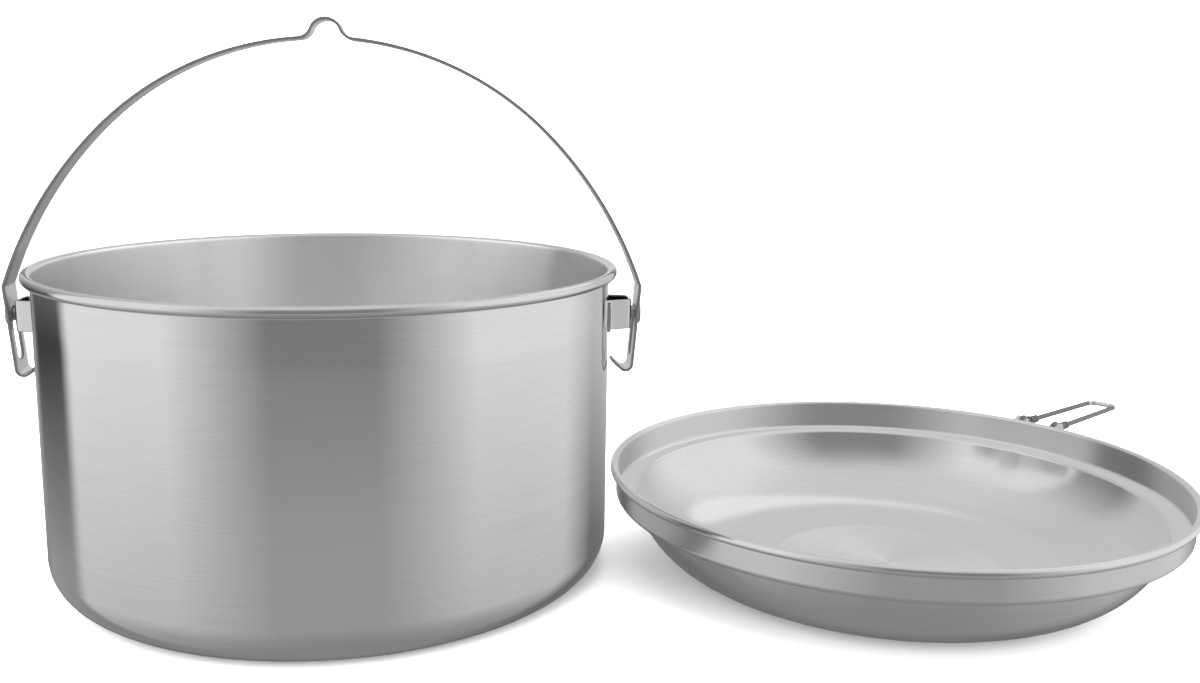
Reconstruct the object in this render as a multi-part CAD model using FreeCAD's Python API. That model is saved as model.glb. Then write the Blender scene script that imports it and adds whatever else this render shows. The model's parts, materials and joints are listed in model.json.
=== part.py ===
import FreeCAD, Part
import math
import os

# Camp-style kettle of sheet stainless steel: a straight pot with a rolled rim, two ears, a slotted
# strap bail that swings and slides on two rivets, and a lid that is also a shallow pan with a folding
# wire handle.  Millimetres.  The origin is the centre of the pot's base on the surface it stands on.
# +Z is up and the ears lie on the X axis; the lid stands beside the pot on its right.

Vec = FreeCAD.Vector

# ---- driving dimensions ----------------------------------------------------------------------------
POT_RADIUS = 110.0          # outside of the wall
POT_HEIGHT = 124.0          # to the top of the rolled rim
POT_SHEET = 0.8
POT_CORNER = 16.0           # outside radius between base and wall
POT_CURL = 2.0              # outside radius of the rolled rim
CURL_TURN = 280.0           # degrees that each rim is rolled through

EAR_TOP_DROP = 14.5         # from the rim's top down to the ear's top edge
EAR_HEIGHT = 12.1
EAR_SHEET = 1.0
EAR_REACH = 9.6             # from the pot's wall to the ear's outer face
EAR_FACE = 12.0             # width of the outer face, corner to corner
EAR_ROOT = 18.6             # width where the ear meets the wall
EAR_CORNER = 2.0
EAR_FOOT = 7.0              # how far each welded foot runs along the wall
EAR_FOOT_CORNER = 2.0
WELD_GAP = 0.02             # thickness left between two curved faces that are welded together

STRAP_WIDTH = 13.5
STRAP_SHEET = 1.2
ARCH_RISE = 87.0            # from the pot's rim to the top of the arch, beside the hump
ARCH_RADIUS = 121.0         # outside radius of the arch's top
ARCH_TURN = 45.0            # degrees each side of the top that the arch keeps that radius
SHOULDER_RADIUS = 160.0     # outside radius of the straighter flank below it
HUMP_RISE = 7.0             # of the hanging hump over the arch
HUMP_RADIUS = 6.5
HUMP_FILLET = 5.0
KINK_DROP = 8.5             # from the pot's rim down to the bend at the top of each leg
KINK_RADIUS = 2.5
LEG_LEAN = 4.75             # degrees that each leg leans in toward the pot, going down
HOOK_DROP = 44.5            # from the pot's rim down to the lowest point of the hook
HOOK_RADIUS = 3.2
HOOK_RISE = 42.0            # degrees that the hook's tip rises, pointing at the pot
HOOK_TIP = 5.0
TIP_CORNER = 3.0
SLOT_WIDTH = 6.2
SLOT_END_DROP = 38.5        # from the pot's rim down to the slot's lower end
SLOT_SEAT = 0.3             # between the slot's upper end and the rivet with the bail down

PIN_RADIUS = 2.7
PIN_CLEARANCE = 0.06        # radial, in the ear's hole
PIN_HEAD_RADIUS = 4.7
PIN_HEAD = 0.8
PIN_TAIL_RADIUS = 4.0
PIN_TAIL = 1.2
FACE_GAP = 0.12             # between a rivet's head or tail and the face beside it

LID_HEIGHT = 42.0
LID_SHEET = 0.7
LID_FIT = 0.5               # radial gap between the lid's collar and the pot's rim
LID_CURL = 1.6
LEDGE_HEIGHT = 29.4         # upper face of the ledge that sits on the pot's rim
LEDGE_CORNER = 1.6
BOWL_MOUTH = 107.9          # radius where the bowl's rounded lip meets the ledge
BOWL_LIP = 2.0
BOWL_SLOPE = 74.0           # degrees at the bowl's steepest, under the lip
LID_GAP = 2.0               # between the pot's wall and the lid's rim, side by side
LID_AZIMUTH = -6.0          # of the lid's centre about the pot's, from +X
HANDLE_AZIMUTH = 36.0       # of the wire handle about the lid's centre, from +X

HINGE_REACH = 6.9           # from the collar's outside to the handle's pivot
HINGE_DROP = 2.5            # from the lid's top down to the pivot
BRACKET_SHEET = 1.1
BRACKET_WIDTH = 25.0
BRACKET_FOOT = 30.3         # height of the bracket's lower edge
LUG_RADIUS = 3.1
LUG_INSET = 9.9             # from the handle's middle to each lug's inner face
WIRE_RADIUS = 1.2
HANDLE_LENGTH = 69.0        # pivot to the outside of the loop's end
HANDLE_BASE = 16.0          # between the two legs' centres at the pivot
HANDLE_TIP = 13.0           # and at the loop's end
HANDLE_CORNER = 4.0
EYE_CLEARANCE = 0.06        # radial, between a handle pin and the wire's eye
HANDLE_PIN_RADIUS = 1.2
HANDLE_PIN_HEAD = 2.2
SLEEVE_START = 5.0
SLEEVE_LENGTH = 8.0
SLEEVE_WALL = 0.7
LIP_REACH = 6.6             # of the bracket's stop lip beyond the pivot
STOP_GAP = 0.3              # between the sleeves and the bracket's stop lip
CURL_GAP = 0.6              # between the bracket's top and the lid's rolled rim
WEB_DROP = 1.5              # from the bracket's top down to the top of the web behind each lug

OVERLAP = 4.0               # how far a cutting or joining block reaches past the face it meets
NEAR = 0.1                  # tolerances for picking edges by their place
TOUCH = 1e-6

# ---- derived values --------------------------------------------------------------------------------
EAR_TOP = POT_HEIGHT - EAR_TOP_DROP
EAR_BASE = EAR_TOP - EAR_HEIGHT
EAR_OUTSIDE = POT_RADIUS + EAR_REACH
PIVOT_Z = EAR_BASE + EAR_HEIGHT / 2
RIM_RADIUS = POT_RADIUS - POT_SHEET + 2 * POT_CURL
COLLAR_INSIDE = RIM_RADIUS + LID_FIT
COLLAR_OUTSIDE = COLLAR_INSIDE + LID_SHEET
LID_RIM_RADIUS = COLLAR_INSIDE + 2 * LID_CURL
LID_DISTANCE = POT_RADIUS + LID_RIM_RADIUS + LID_GAP
HINGE_RADIUS = COLLAR_OUTSIDE + HINGE_REACH
HINGE_Z = LID_HEIGHT - HINGE_DROP

# The bail's outline, from the middle of the hump to the hook.  The fillet touches the arch and the hump
# from outside, which places its centre; the flank leaves the arch tangentially and ends at the kink.
ARCH_TOP = POT_HEIGHT + ARCH_RISE
ARCH_CENTRE = ARCH_TOP - ARCH_RADIUS
HUMP_CENTRE = ARCH_TOP + HUMP_RISE - HUMP_RADIUS
FILLET_TO_ARCH = ARCH_RADIUS + HUMP_FILLET
FILLET_TO_HUMP = HUMP_RADIUS + HUMP_FILLET
HUMP_OVER_ARCH = HUMP_CENTRE - ARCH_CENTRE
FILLET_RISE = (FILLET_TO_ARCH ** 2 - FILLET_TO_HUMP ** 2 + HUMP_OVER_ARCH ** 2) / (2 * HUMP_OVER_ARCH)
ARCH_START = math.degrees(math.acos(FILLET_RISE / FILLET_TO_ARCH))
HUMP_TURN = math.degrees(math.acos((FILLET_RISE - HUMP_OVER_ARCH) / FILLET_TO_HUMP))
KINK_Z = POT_HEIGHT - KINK_DROP
FLANK_SHIFT = (SHOULDER_RADIUS - ARCH_RADIUS) * math.sin(math.radians(ARCH_TURN))
FLANK_CENTRE = ARCH_CENTRE - (SHOULDER_RADIUS - ARCH_RADIUS) * math.cos(math.radians(ARCH_TURN))
FLANK_END = math.degrees(math.acos((KINK_Z - FLANK_CENTRE) / SHOULDER_RADIUS))
KINK_X = SHOULDER_RADIUS * math.sin(math.radians(FLANK_END)) - FLANK_SHIFT
LEG_HEADING = 90 + LEG_LEAN
LEG_TOP_X = KINK_X + KINK_RADIUS * (math.sin(math.radians(LEG_HEADING)) - math.sin(math.radians(FLANK_END)))
LEG_TOP_Z = KINK_Z + KINK_RADIUS * (math.cos(math.radians(LEG_HEADING)) - math.cos(math.radians(FLANK_END)))


def leg_outside(z):
    """Distance from the bail's middle to the outer face of a straight leg, at height z."""
    return LEG_TOP_X - (LEG_TOP_Z - z) * math.tan(math.radians(LEG_LEAN))


# ---- helpers ---------------------------------------------------------------------------------------
def sheet_face(start, heading, moves, thickness):
    """Section of bent sheet in the XZ plane.  One face of the sheet starts at (x, z) with a heading in
    degrees and follows moves: ("line", length) or ("turn", radius, angle), where a positive angle turns
    left.  The sheet lies to the right of that face."""
    x, z = start
    near = []
    far = []

    def on_right(px, pz, angle):
        return Vec(px + thickness * math.sin(angle), 0, pz - thickness * math.cos(angle))

    angle = math.radians(heading)
    first_near = Vec(x, 0, z)
    first_far = on_right(x, z, angle)
    for move in moves:
        if move[0] == "line":
            x2 = x + move[1] * math.cos(angle)
            z2 = z + move[1] * math.sin(angle)
            near.append(Part.LineSegment(Vec(x, 0, z), Vec(x2, 0, z2)))
            far.append(Part.LineSegment(on_right(x, z, angle), on_right(x2, z2, angle)))
        else:
            radius = move[1]
            turn = math.radians(move[2])
            side = 1 if turn > 0 else -1
            centre_x = x - side * radius * math.sin(angle)
            centre_z = z + side * radius * math.cos(angle)
            stops = []
            for part in (0, 0.5, 1):
                a = angle + part * turn
                px = centre_x + side * radius * math.sin(a)
                pz = centre_z - side * radius * math.cos(a)
                stops.append((Vec(px, 0, pz), on_right(px, pz, a)))
            near.append(Part.Arc(stops[0][0], stops[1][0], stops[2][0]))
            far.append(Part.Arc(stops[0][1], stops[1][1], stops[2][1]))
            x2 = stops[2][0].x
            z2 = stops[2][0].z
            angle += turn
        x, z = x2, z2
    curves = near + [Part.LineSegment(Vec(x, 0, z), on_right(x, z, angle))] + far
    curves.append(Part.LineSegment(first_far, first_near))
    edges = [curve.toShape() for curve in curves]
    return Part.Face(Part.Wire(Part.__sortEdges__(edges)))


def cylinder_x(radius, x0, x1, z):
    return Part.makeCylinder(radius, x1 - x0, Vec(x0, 0, z), Vec(1, 0, 0))


def cylinder_y(radius, y0, y1, x, z):
    return Part.makeCylinder(radius, y1 - y0, Vec(x, y0, z), Vec(0, 1, 0))


def ring(outside, inside, z0, z1):
    outer = Part.makeCylinder(outside, z1 - z0, Vec(0, 0, z0))
    return outer.cut(Part.makeCylinder(inside, z1 - z0, Vec(0, 0, z0)))


def prism(points, z0, height):
    """Upright prism on a closed outline of (x, y) points."""
    corners = [Vec(x, y, z0) for x, y in points]
    return Part.Face(Part.makePolygon(corners + corners[:1])).extrude(Vec(0, 0, height))


def round_upright_edges(solid, radius, wanted):
    """Fillet the upright edges whose middle (x, y, z) passes the test `wanted`."""
    edges = []
    for edge in solid.Edges:
        ends = [vertex.Point for vertex in edge.Vertexes]
        upright = len(ends) == 2 and abs(ends[0].x - ends[1].x) + abs(ends[0].y - ends[1].y) < TOUCH
        if upright and wanted(edge.CenterOfMass):
            edges.append(edge)
    return solid.makeFillet(radius, edges)


def other_side(shape):
    """The same piece turned half round the pot, for the left side."""
    return shape.rotated(Vec(0, 0, 0), Vec(0, 0, 1), 180)


def beside_pot(shape):
    """Move a piece from the lid's own axis, handle along +X, to the lid's place beside the pot."""
    turned = shape.rotated(Vec(0, 0, 0), Vec(0, 0, 1), HANDLE_AZIMUTH)
    azimuth = math.radians(LID_AZIMUTH)
    return turned.translated(Vec(LID_DISTANCE * math.cos(azimuth), LID_DISTANCE * math.sin(azimuth), 0))


# ---- pot -------------------------------------------------------------------------------------------
def pot_shell():
    corner = POT_CORNER - POT_SHEET
    moves = [
        ("line", POT_RADIUS - POT_CORNER),
        ("turn", corner, 90),
        ("line", POT_HEIGHT - POT_CURL - POT_CORNER),
        ("turn", POT_CURL, -CURL_TURN),
    ]
    section = sheet_face((0, POT_SHEET), 0, moves, POT_SHEET)
    return section.revolve(Vec(0, 0, 0), Vec(0, 0, 1), 360)


def ear():
    """Right ear: a strip bent into a hat, open above and below, with two feet welded to the wall."""
    side_slope = (EAR_ROOT - EAR_FACE) / 2 / EAR_REACH
    inner_shift = EAR_SHEET * (math.hypot(1, side_slope) - side_slope)
    root_x = POT_RADIUS - OVERLAP
    root_y = EAR_ROOT / 2 + OVERLAP * side_slope
    face_y = EAR_FACE / 2
    inside_x = EAR_OUTSIDE - EAR_SHEET
    root_in = root_y - EAR_SHEET * math.hypot(1, side_slope)
    face_in = face_y - inner_shift
    outer = prism([(root_x, -root_y), (EAR_OUTSIDE, -face_y), (EAR_OUTSIDE, face_y), (root_x, root_y)],
                  EAR_BASE, EAR_HEIGHT)
    outer = round_upright_edges(outer, EAR_CORNER, lambda p: p.x > EAR_OUTSIDE - NEAR)
    hollow = prism([(root_x, -root_in), (inside_x, -face_in), (inside_x, face_in), (root_x, root_in)],
                   EAR_BASE, EAR_HEIGHT)
    hollow = round_upright_edges(hollow, EAR_CORNER - EAR_SHEET, lambda p: p.x > inside_x - NEAR)
    wall = POT_RADIUS + WELD_GAP
    foot_y = EAR_ROOT / 2 + EAR_FOOT
    feet = ring(wall + EAR_SHEET, wall, EAR_BASE, EAR_TOP)
    span = Part.makeBox(2 * OVERLAP, 2 * foot_y, EAR_HEIGHT, Vec(POT_RADIUS - OVERLAP, -foot_y, EAR_BASE))
    corners = [e for e in span.Edges if abs(abs(e.CenterOfMass.y) - foot_y) < NEAR
               and abs(e.CenterOfMass.z - PIVOT_Z) > EAR_HEIGHT / 2 - NEAR]
    span = span.makeFillet(EAR_FOOT_CORNER, corners)
    feet = feet.common(span).cut(hollow)
    body = outer.cut(hollow).cut(Part.makeCylinder(wall, EAR_HEIGHT, Vec(0, 0, EAR_BASE)))
    body = body.fuse(feet).removeSplitter()
    hole = cylinder_x(PIN_RADIUS + PIN_CLEARANCE, EAR_OUTSIDE - OVERLAP, EAR_OUTSIDE + OVERLAP, PIVOT_Z)
    return body.cut(hole)


# ---- bail ------------------------------------------------------------------------------------------
def pivot_pin():
    """Right rivet: tail inside the ear, shank through ear and slot, thin flat head outside the strap."""
    head_x = leg_outside(PIVOT_Z + PIN_HEAD_RADIUS) + FACE_GAP
    tail_x = EAR_OUTSIDE - EAR_SHEET - FACE_GAP
    shank = cylinder_x(PIN_RADIUS, tail_x - PIN_TAIL, head_x + PIN_HEAD, PIVOT_Z)
    head = cylinder_x(PIN_HEAD_RADIUS, head_x, head_x + PIN_HEAD, PIVOT_Z)
    rim = [e for e in head.Edges if abs(e.CenterOfMass.x - head_x - PIN_HEAD) < TOUCH]
    head = head.makeFillet(PIN_HEAD / 2, rim)
    tail = cylinder_x(PIN_TAIL_RADIUS, tail_x - PIN_TAIL, tail_x, PIVOT_Z)
    rim = [e for e in tail.Edges if abs(e.CenterOfMass.x - tail_x + PIN_TAIL) < TOUCH]
    tail = tail.makeFillet(PIN_TAIL / 2, rim)
    return shank.fuse([head, tail]).removeSplitter()


def bail_strap():
    hook_centre = POT_HEIGHT - HOOK_DROP + HOOK_RADIUS
    leg_bottom = hook_centre + HOOK_RADIUS * math.cos(math.radians(LEG_HEADING))
    leg_length = (LEG_TOP_Z - leg_bottom) / math.cos(math.radians(LEG_LEAN))
    moves = [
        ("turn", HUMP_RADIUS, -HUMP_TURN),
        ("turn", HUMP_FILLET, HUMP_TURN - ARCH_START),
        ("turn", ARCH_RADIUS, ARCH_START - ARCH_TURN),
        ("turn", SHOULDER_RADIUS, ARCH_TURN - FLANK_END),
        ("turn", KINK_RADIUS, FLANK_END - LEG_HEADING),
        ("line", leg_length),
        ("turn", HOOK_RADIUS, LEG_HEADING - 180 - HOOK_RISE),
        ("line", HOOK_TIP),
    ]
    half = sheet_face((0, ARCH_TOP + HUMP_RISE), 0, moves, STRAP_SHEET)
    half = half.translated(Vec(0, -STRAP_WIDTH / 2, 0)).extrude(Vec(0, STRAP_WIDTH, 0))
    tip_x = min(v.X for v in half.Vertexes if v.Z < PIVOT_Z)
    corners = [e for e in half.Edges if e.Length < 2 * STRAP_SHEET
               and abs(abs(e.CenterOfMass.y) - STRAP_WIDTH / 2) < TOUCH
               and abs(e.CenterOfMass.x - tip_x) < STRAP_SHEET and e.CenterOfMass.z < PIVOT_Z]
    half = half.makeFillet(TIP_CORNER, corners)
    half = half.cut(slot_cutter())
    return half.fuse(other_side(half)).removeSplitter()


def slot_cutter():
    """Round-ended slot through the right leg, from just above the rivet down to its lower end."""
    radius = SLOT_WIDTH / 2
    upper = PIVOT_Z + PIN_RADIUS + SLOT_SEAT - radius
    lower = POT_HEIGHT - SLOT_END_DROP + radius
    depth = 2 * OVERLAP
    x = leg_outside(PIVOT_Z) - OVERLAP
    block = Part.makeBox(depth, SLOT_WIDTH, upper - lower, Vec(x, -radius, lower))
    return block.fuse([cylinder_x(radius, x, x + depth, upper), cylinder_x(radius, x, x + depth, lower)])


# ---- lid -------------------------------------------------------------------------------------------
def lid_pan():
    """The pan in its own axis: flat floor, round bowl, ledge, collar and rolled rim."""
    slope = math.radians(BOWL_SLOPE)
    lip_run = BOWL_LIP * math.sin(slope)
    lip_rise = BOWL_LIP * (1 - math.cos(slope))
    bowl_rise = LEDGE_HEIGHT - LID_SHEET - lip_rise
    bowl_radius = bowl_rise / (1 - math.cos(slope))
    floor = BOWL_MOUTH - lip_run - bowl_radius * math.sin(slope)
    collar_rise = LID_HEIGHT - LID_CURL - LEDGE_HEIGHT - LEDGE_CORNER
    moves = [
        ("line", floor),
        ("turn", bowl_radius, BOWL_SLOPE),
        ("turn", BOWL_LIP, -BOWL_SLOPE),
        ("line", COLLAR_INSIDE - LEDGE_CORNER - BOWL_MOUTH),
        ("turn", LEDGE_CORNER, 90),
        ("line", collar_rise),
        ("turn", LID_CURL, -CURL_TURN),
    ]
    section = sheet_face((0, LID_SHEET), 0, moves, LID_SHEET)
    return section.revolve(Vec(0, 0, 0), Vec(0, 0, 1), 360)


def handle_bracket():
    """Curved plate welded to the collar, with two lugs for the pins and a lip that stops the handle."""
    wall = COLLAR_OUTSIDE + WELD_GAP
    half = BRACKET_WIDTH / 2
    plate_top = LID_HEIGHT - 2 * LID_CURL - CURL_GAP
    plate = ring(wall + BRACKET_SHEET, wall, BRACKET_FOOT, plate_top)
    front = Part.makeBox(2 * OVERLAP, BRACKET_WIDTH, LID_HEIGHT, Vec(wall - OVERLAP, -half, BRACKET_FOOT))
    plate = plate.common(front)
    eye_reach = HANDLE_PIN_RADIUS + EYE_CLEARANCE + 2 * WIRE_RADIUS
    lip_top = HINGE_Z - WIRE_RADIUS - SLEEVE_WALL - STOP_GAP
    shelf_z = HINGE_Z - eye_reach - STOP_GAP - BRACKET_SHEET
    lip_x = HINGE_RADIUS + LIP_REACH
    shelf_x = wall - OVERLAP
    shelf = Part.makeBox(lip_x - shelf_x, BRACKET_WIDTH, BRACKET_SHEET, Vec(shelf_x, -half, shelf_z))
    shelf = shelf.cut(Part.makeCylinder(wall, 2 * LID_HEIGHT))
    upturn = Part.makeBox(BRACKET_SHEET, BRACKET_WIDTH, lip_top - shelf_z,
                          Vec(lip_x - BRACKET_SHEET, -half, shelf_z))
    lip = shelf.fuse(upturn).removeSplitter()
    body = plate.fuse(lip)
    web_height = plate_top - WEB_DROP - BRACKET_FOOT
    for side in (-1, 1):
        y0 = side * LUG_INSET + (0 if side > 0 else -BRACKET_SHEET)
        web = Part.makeBox(HINGE_RADIUS + LUG_RADIUS - shelf_x, BRACKET_SHEET, web_height,
                           Vec(shelf_x, y0, BRACKET_FOOT))
        neck = Part.makeBox(2 * LUG_RADIUS, BRACKET_SHEET, HINGE_Z - BRACKET_FOOT,
                            Vec(HINGE_RADIUS - LUG_RADIUS, y0, BRACKET_FOOT))
        head = cylinder_y(LUG_RADIUS, y0, y0 + BRACKET_SHEET, HINGE_RADIUS, HINGE_Z)
        body = body.fuse([web.cut(Part.makeCylinder(wall, 2 * LID_HEIGHT)), neck, head])
        hole = cylinder_y(HANDLE_PIN_RADIUS, y0 - NEAR, y0 + BRACKET_SHEET + NEAR, HINGE_RADIUS, HINGE_Z)
        body = body.cut(hole)
    return beside_pot(body.removeSplitter())


def handle_pin(side):
    """Rivet fixed in one lug; its inner end is the axle of the wire's eye."""
    eye = HANDLE_BASE / 2
    inner = eye - WIRE_RADIUS - FACE_GAP
    outer = LUG_INSET + BRACKET_SHEET
    shank = cylinder_y(HANDLE_PIN_RADIUS, inner - PIN_HEAD, outer + PIN_HEAD, HINGE_RADIUS, HINGE_Z)
    inner_head = cylinder_y(HANDLE_PIN_HEAD, inner - PIN_HEAD, inner, HINGE_RADIUS, HINGE_Z)
    outer_head = cylinder_y(HANDLE_PIN_HEAD, outer, outer + PIN_HEAD, HINGE_RADIUS, HINGE_Z)
    pin = shank.fuse([inner_head, outer_head]).removeSplitter()
    if side < 0:
        pin = pin.mirror(Vec(0, 0, 0), Vec(0, 1, 0))
    return beside_pot(pin)


def leg_line():
    """Start and end of one leg's centre line, without its corner, and its unit direction."""
    start = Vec(HINGE_RADIUS, HANDLE_BASE / 2, HINGE_Z)
    end = Vec(HINGE_RADIUS + HANDLE_LENGTH - WIRE_RADIUS, HANDLE_TIP / 2, HINGE_Z)
    direction = (end - start).normalize()
    return start, end, direction


def handle_wire():
    """One wire: an eye round each pin, two legs that close in slightly, and a square loop end."""
    start, end, direction = leg_line()
    eye_radius = HANDLE_PIN_RADIUS + EYE_CLEARANCE + WIRE_RADIUS
    leg_start = start + direction * eye_radius
    inward = Vec(0, -1, 0)
    bend = math.pi - direction.getAngle(inward)
    cut_back = HANDLE_CORNER * math.tan(bend / 2)
    bend_start = end - direction * cut_back
    bend_end = end + inward * cut_back
    to_middle = (inward - direction)
    to_middle.normalize()
    centre = end + to_middle * (HANDLE_CORNER / math.cos(bend / 2))
    bend_middle = centre - to_middle * HANDLE_CORNER

    def flipped(p):
        return Vec(p.x, -p.y, p.z)

    path = Part.Wire([
        Part.LineSegment(leg_start, bend_start).toShape(),
        Part.Arc(bend_start, bend_middle, bend_end).toShape(),
        Part.LineSegment(bend_end, flipped(bend_end)).toShape(),
        Part.Arc(flipped(bend_end), flipped(bend_middle), flipped(bend_start)).toShape(),
        Part.LineSegment(flipped(bend_start), flipped(leg_start)).toShape(),
    ])
    circle = Part.Wire(Part.makeCircle(WIRE_RADIUS, leg_start, direction))
    wire = path.makePipeShell([circle], True, False)
    eyes = []
    for y in (start.y, -start.y):
        eyes.append(Part.makeTorus(eye_radius, WIRE_RADIUS, Vec(start.x, y, start.z), Vec(0, 1, 0)))
    return beside_pot(wire.fuse(eyes).removeSplitter())


def handle_sleeve(side):
    """Short tube on the wire beside the eye."""
    start, end, direction = leg_line()
    base = start + direction * SLEEVE_START
    outer = Part.makeCylinder(WIRE_RADIUS + SLEEVE_WALL, SLEEVE_LENGTH, base, direction)
    sleeve = outer.cut(Part.makeCylinder(WIRE_RADIUS + WELD_GAP, SLEEVE_LENGTH, base, direction))
    if side < 0:
        sleeve = sleeve.mirror(Vec(0, 0, 0), Vec(0, 1, 0))
    return beside_pot(sleeve)


# ---- every node ------------------------------------------------------------------------------------
def build():
    right_ear = ear()
    right_pin = pivot_pin()
    return {
        "pot_shell": pot_shell(),
        "right_ear": right_ear,
        "left_ear": other_side(right_ear),
        "right_pivot_pin": right_pin,
        "left_pivot_pin": other_side(right_pin),
        "bail_strap": bail_strap(),
        "lid_pan": beside_pot(lid_pan()),
        "handle_bracket": handle_bracket(),
        "handle_pin_front": handle_pin(-1),
        "handle_pin_back": handle_pin(1),
        "handle_wire": handle_wire(),
        "handle_sleeve_front": handle_sleeve(-1),
        "handle_sleeve_back": handle_sleeve(1),
    }


os.makedirs("parts", exist_ok=True)
for name, shape in build().items():
    if not shape.isValid() or len(shape.Solids) != 1 or not shape.Solids[0].isClosed():
        raise ValueError(name + " is not one closed solid")
    shape.Solids[0].exportStep("parts/" + name + ".step")
    print(name, "volume", round(shape.Volume, 1))
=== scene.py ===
import json
import math

import bmesh
import bpy
from mathutils import Matrix, Vector

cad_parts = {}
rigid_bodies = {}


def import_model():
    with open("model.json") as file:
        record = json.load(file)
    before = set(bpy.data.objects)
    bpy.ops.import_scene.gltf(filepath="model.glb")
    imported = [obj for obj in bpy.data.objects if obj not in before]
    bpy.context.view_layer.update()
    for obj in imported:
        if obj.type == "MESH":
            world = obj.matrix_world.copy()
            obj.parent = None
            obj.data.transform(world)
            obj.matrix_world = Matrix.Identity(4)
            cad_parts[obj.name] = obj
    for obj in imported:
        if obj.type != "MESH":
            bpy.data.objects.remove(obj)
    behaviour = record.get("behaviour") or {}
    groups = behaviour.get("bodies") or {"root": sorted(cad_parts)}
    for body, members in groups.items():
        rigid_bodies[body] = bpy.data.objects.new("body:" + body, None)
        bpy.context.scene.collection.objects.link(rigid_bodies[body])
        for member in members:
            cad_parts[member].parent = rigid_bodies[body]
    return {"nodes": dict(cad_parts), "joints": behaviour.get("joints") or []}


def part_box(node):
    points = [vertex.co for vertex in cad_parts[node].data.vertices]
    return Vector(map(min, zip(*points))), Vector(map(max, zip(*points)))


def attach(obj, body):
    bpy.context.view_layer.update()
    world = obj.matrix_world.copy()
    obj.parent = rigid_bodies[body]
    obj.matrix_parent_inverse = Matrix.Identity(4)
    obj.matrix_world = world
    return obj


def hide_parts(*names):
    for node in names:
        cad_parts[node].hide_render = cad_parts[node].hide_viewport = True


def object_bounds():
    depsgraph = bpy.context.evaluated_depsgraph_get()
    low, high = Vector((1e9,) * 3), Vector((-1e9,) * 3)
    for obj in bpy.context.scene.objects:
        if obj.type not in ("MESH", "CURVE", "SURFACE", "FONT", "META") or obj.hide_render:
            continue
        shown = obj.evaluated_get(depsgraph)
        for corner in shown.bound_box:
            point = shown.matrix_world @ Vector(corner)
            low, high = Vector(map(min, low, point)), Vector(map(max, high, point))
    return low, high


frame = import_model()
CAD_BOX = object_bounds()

# A brushed stainless kettle: pot, ears, rivets, slotted strap bail, and a pan lid with a wire handle.
# Every piece below but the bracket is rebuilt as a fine mesh at the place of its CAD node, in metres, and
# rides on the node's body; the bracket keeps its CAD mesh.  Sheet pieces are bent strips or turned profiles
# with softened edges.

MM = 0.001

# ---- sizes of the sheet metal, in millimetres --------------------------------------------------------
POT_SHEET = 0.8
POT_CORNER = 16.0            # outside radius between base and wall
WALL_STEPS = 6
GROOVE_DROP = 4.6            # from the rim's top down to the fine line rolled round the outside
GROOVE_WIDTH = 0.5
GROOVE_DEPTH = 0.06
CURL_TURN = 280.0            # degrees that a rim is rolled through

EAR_SHEET = 1.0
EAR_FACE = 12.0
EAR_ROOT = 18.6
EAR_CORNER = 2.0
EAR_ROOT_BEND = 0.8
EAR_END_CORNER = 2.0
WELD_RADIUS = 1.7
WELD_DEPTH = 0.22

STRAP_SHEET = 1.2
ARCH_RISE = 87.0             # from the pot's rim to the arch's top, beside the hump
ARCH_RADIUS = 121.0
ARCH_TURN = 45.0
SHOULDER_RADIUS = 160.0
HUMP_RADIUS = 6.5
HUMP_FILLET = 5.0
KINK_DROP = 8.5
KINK_RADIUS = 2.5
LEG_LEAN = 4.75
HOOK_RADIUS = 3.2
HOOK_RISE = 42.0
HOOK_TIP = 5.0
TIP_CORNER = 3.0
SLOT_WIDTH = 6.2
SLOT_TOP_DROP = 17.55        # from the pot's rim to the slot's upper end
SLOT_END_DROP = 38.5

LID_SHEET = 0.7
LID_CURL = 1.6
LEDGE_HEIGHT = 29.4
LEDGE_CORNER = 1.6
BOWL_MOUTH = 107.9
BOWL_LIP = 2.0
BOWL_SLOPE = 74.0
SPUN_RADIUS = 48.0           # of the spun finish in the middle of the floor, toned lighter as a painted sheen

HANDLE_AZIMUTH = 36.0        # of the wire handle about the lid's centre, from +X
WIRE_RADIUS = 1.2
HANDLE_BASE = 16.0
HANDLE_TIP = 13.0
HANDLE_CORNER = 4.0
HANDLE_LENGTH = 68.86        # a hair short, to stay inside the faceted CAD wire's box
EYE_RADIUS = 2.46            # of the wire's centre line round a pin
SLEEVE_START = 5.0
SLEEVE_LENGTH = 8.0
SLEEVE_RADIUS = 1.9
SLEEVE_FLANGE = 2.3
PIN_RADIUS = 1.2
PIN_HEAD_RADIUS = 2.2
PIN_HEAD = 0.8

BOX_ROOM = 0.02              # kept between a turned rim and its CAD box, whose rim is faceted
SOFT_EDGE = 0.28             # rounding of a sheet's cut edges
ROUND_STEPS = 288            # facets round the pot and the lid
ARC_STEP = 6.0               # degrees between points on a bend

# ---- places, from the CAD frame ----------------------------------------------------------------------
JOINTS = {joint["name"]: joint for joint in frame["joints"]}
POT_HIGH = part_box("pot_shell")[1]
LID_LOW, LID_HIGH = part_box("lid_pan")
EAR_LOW, EAR_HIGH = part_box("right_ear")
STRAP_LOW, STRAP_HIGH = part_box("bail_strap")
PIN_LOW, PIN_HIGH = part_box("right_pivot_pin")
POT_HEIGHT = POT_HIGH.z / MM
RIM_RADIUS = POT_HIGH.x / MM - BOX_ROOM
POT_INSIDE = RIM_RADIUS - 4.0
POT_RADIUS = POT_INSIDE + POT_SHEET
LID_CENTRE = (LID_LOW + LID_HIGH) / 2
LID_CENTRE.z = 0.0
LID_HEIGHT = LID_HIGH.z / MM
LID_RIM = (LID_HIGH.x - LID_LOW.x) / 2 / MM - BOX_ROOM
COLLAR_INSIDE = LID_RIM - 2 * LID_CURL
PIVOT = Vector(JOINTS["bail_swing"]["pos_m"])
HINGE = Vector(JOINTS["lid_handle_fold"]["pos_m"])


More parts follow.
